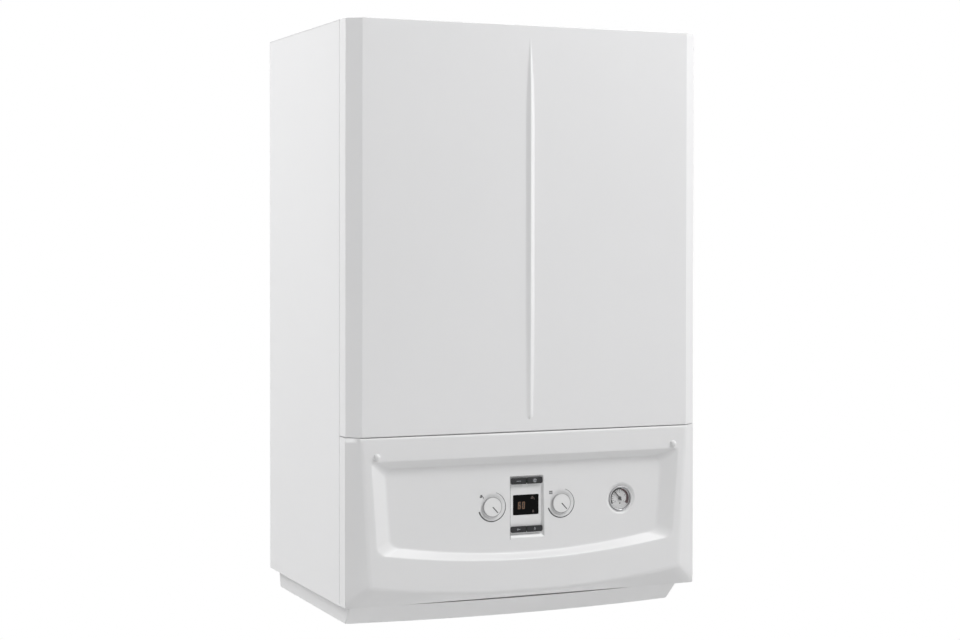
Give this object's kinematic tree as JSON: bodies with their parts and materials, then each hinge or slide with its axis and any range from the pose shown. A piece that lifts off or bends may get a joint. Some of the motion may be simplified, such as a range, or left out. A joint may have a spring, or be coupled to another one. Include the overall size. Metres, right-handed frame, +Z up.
{
  "type": "combi boiler",
  "caption": "Wall-hung white combi boiler with a built-in hot-water tank: two front covers, a sunk control field with display, keys, knobs and a pressure gauge.",
  "frame": {"origin": "middle of the wall bracket's back face, where the boiler hangs on the wall", "axes": "+Z up, +Y into the wall, +X to the right as seen from the front"},
  "size_m": [0.6, 0.43, 0.957],
  "materials": {
    "white_paint": "smooth satin white powder coat",
    "white_plastic": "satin white moulded plastic",
    "knob_plastic": "semi-gloss white moulded plastic",
    "key_plastic": "dark grey soft keys with pale signs",
    "display": "black window with amber digits",
    "black_plastic": "satin black plastic",
    "dark_plastic": "dark grey moulded plastic",
    "red_plastic": "red moulded plastic",
    "circuit_board": "green circuit board with solder pads",
    "gauge_metal": "silver-grey dial and turned rim",
    "gauge_glass": "clear gauge window",
    "zinc_sheet": "galvanised sheet with a faint spangle",
    "stainless": "brushed stainless steel",
    "cast_aluminium": "sand-cast aluminium",
    "copper": "drawn copper tube, slightly dulled",
    "brass": "machined brass",
    "red_paint": "red lacquered vessel",
    "foam": "grey moulded foam"
  },
  "bodies": {
    "casing": {"wall_bracket": "zinc_sheet", "back_panel": "zinc_sheet", "left_side_panel": "white_paint", "right_side_panel": "white_paint", "top_panel": "white_paint", "support_shelf": "zinc_sheet", "pipe_plate": "zinc_sheet", "bottom_tray": "white_plastic", "left_cheek": "white_paint", "right_cheek": "white_paint", "storage_tank": "stainless", "tank_jacket": "foam", "tank_coil": "stainless", "tank_flange": "brass", "tank_anode": "brass", "heat_exchanger": "stainless", "burner_door": "cast_aluminium", "burner_tube": "stainless", "flue_duct": "cast_aluminium", "flue_collar": "white_plastic", "fan_housing": "cast_aluminium", "fan_motor": "black_plastic", "gas_valve": "cast_aluminium", "gas_line": "copper", "condensate_trap": "dark_plastic", "heating_vessel": "red_paint", "flow_pipe": "copper", "diverter_body": "brass", "diverter_actuator": "black_plastic", "hot_pipe": "copper", "cold_pipe": "copper", "return_pipe": "copper", "gas_pipe": "copper", "hydraulic_manifold": "brass", "pump_body": "cast_aluminium", "pump_motor": "black_plastic", "relief_valve": "brass", "potable_vessel": "white_paint", "mains_gland": "black_plastic"},
    "upper_cover": {"upper_front_cover": "white_paint"},
    "control_panel": {"lower_front_cover": "white_plastic", "left_cover_screw": "white_plastic", "right_cover_screw": "white_plastic", "control_box": "dark_plastic", "control_board": "circuit_board", "display_window": "display", "gauge_body": "gauge_metal", "gauge_lens": "gauge_glass"},
    "hot_water_dial": {"hot_water_knob": "knob_plastic"},
    "heating_dial": {"heating_knob": "knob_plastic"},
    "upper_left_button": {"key_upper_left": "key_plastic"},
    "upper_right_button": {"key_upper_right": "key_plastic"},
    "lower_left_button": {"key_lower_left": "key_plastic"},
    "lower_right_button": {"key_lower_right": "key_plastic"},
    "gauge_pointer": {"gauge_needle": "black_plastic"},
    "fan_wheel": {"fan_impeller": "cast_aluminium"},
    "pump_wheel": {"pump_rotor": "stainless"},
    "diverter_spindle": {"diverter_stem": "brass"},
    "relief_cap": {"relief_knob": "red_plastic"},
    "filling_lever": {"filling_handle": "black_plastic"}
  },
  "joints": [
    {"name": "upper_cover_pull", "type": "slide", "parent": "casing", "child": "upper_cover", "axis": [0, -1, 0], "range_m": [0, 0.25]},
    {"name": "control_panel_fold", "type": "hinge", "parent": "casing", "child": "control_panel", "pos_m": [0, -0.404, -0.835], "axis": [1, 0, 0], "range_deg": [0, 50]},
    {"name": "hot_water_turn", "type": "hinge", "parent": "control_panel", "child": "hot_water_dial", "pos_m": [-0.0595, -0.415, -0.6962], "axis": [0, 1, 0], "range_deg": [-120, 116]},
    {"name": "heating_turn", "type": "hinge", "parent": "control_panel", "child": "heating_dial", "pos_m": [0.0595, -0.415, -0.6962], "axis": [0, 1, 0], "range_deg": [-120, 116]},
    {"name": "upper_left_press", "type": "slide", "parent": "control_panel", "child": "upper_left_button", "axis": [0, 1, 0], "range_m": [0, 0.0008], "stiffness_N_per_m": 900, "springref_m": -0.0006},
    {"name": "upper_right_press", "type": "slide", "parent": "control_panel", "child": "upper_right_button", "axis": [0, 1, 0], "range_m": [0, 0.0008], "stiffness_N_per_m": 900, "springref_m": -0.0006},
    {"name": "lower_left_press", "type": "slide", "parent": "control_panel", "child": "lower_left_button", "axis": [0, 1, 0], "range_m": [0, 0.0008], "stiffness_N_per_m": 900, "springref_m": -0.0006},
    {"name": "lower_right_press", "type": "slide", "parent": "control_panel", "child": "lower_right_button", "axis": [0, 1, 0], "range_m": [0, 0.0008], "stiffness_N_per_m": 900, "springref_m": -0.0006},
    {"name": "pointer_turn", "type": "hinge", "parent": "control_panel", "child": "gauge_pointer", "pos_m": [0.1658, -0.407, -0.6944], "axis": [0, 1, 0], "range_deg": [-95, 175]},
    {"name": "fan_spin", "type": "hinge", "parent": "casing", "child": "fan_wheel", "pos_m": [-0.185, -0.25, -0.4], "axis": [0, 1, 0], "continuous": true},
    {"name": "pump_spin", "type": "hinge", "parent": "casing", "child": "pump_wheel", "pos_m": [0.15, -0.13, -0.712], "axis": [0, 1, 0], "continuous": true},
    {"name": "diverter_stroke", "type": "slide", "parent": "casing", "child": "diverter_spindle", "axis": [0, 0, 1], "range_m": [0, 0.009]},
    {"name": "relief_turn", "type": "hinge", "parent": "casing", "child": "relief_cap", "pos_m": [0.222, -0.11, -0.72], "axis": [0, 0, 1], "range_deg": [0, 90]},
    {"name": "filling_turn", "type": "hinge", "parent": "casing", "child": "filling_lever", "pos_m": [0.205, -0.11, -0.86], "axis": [0, 0, -1], "range_deg": [0, 90]}
  ]
}
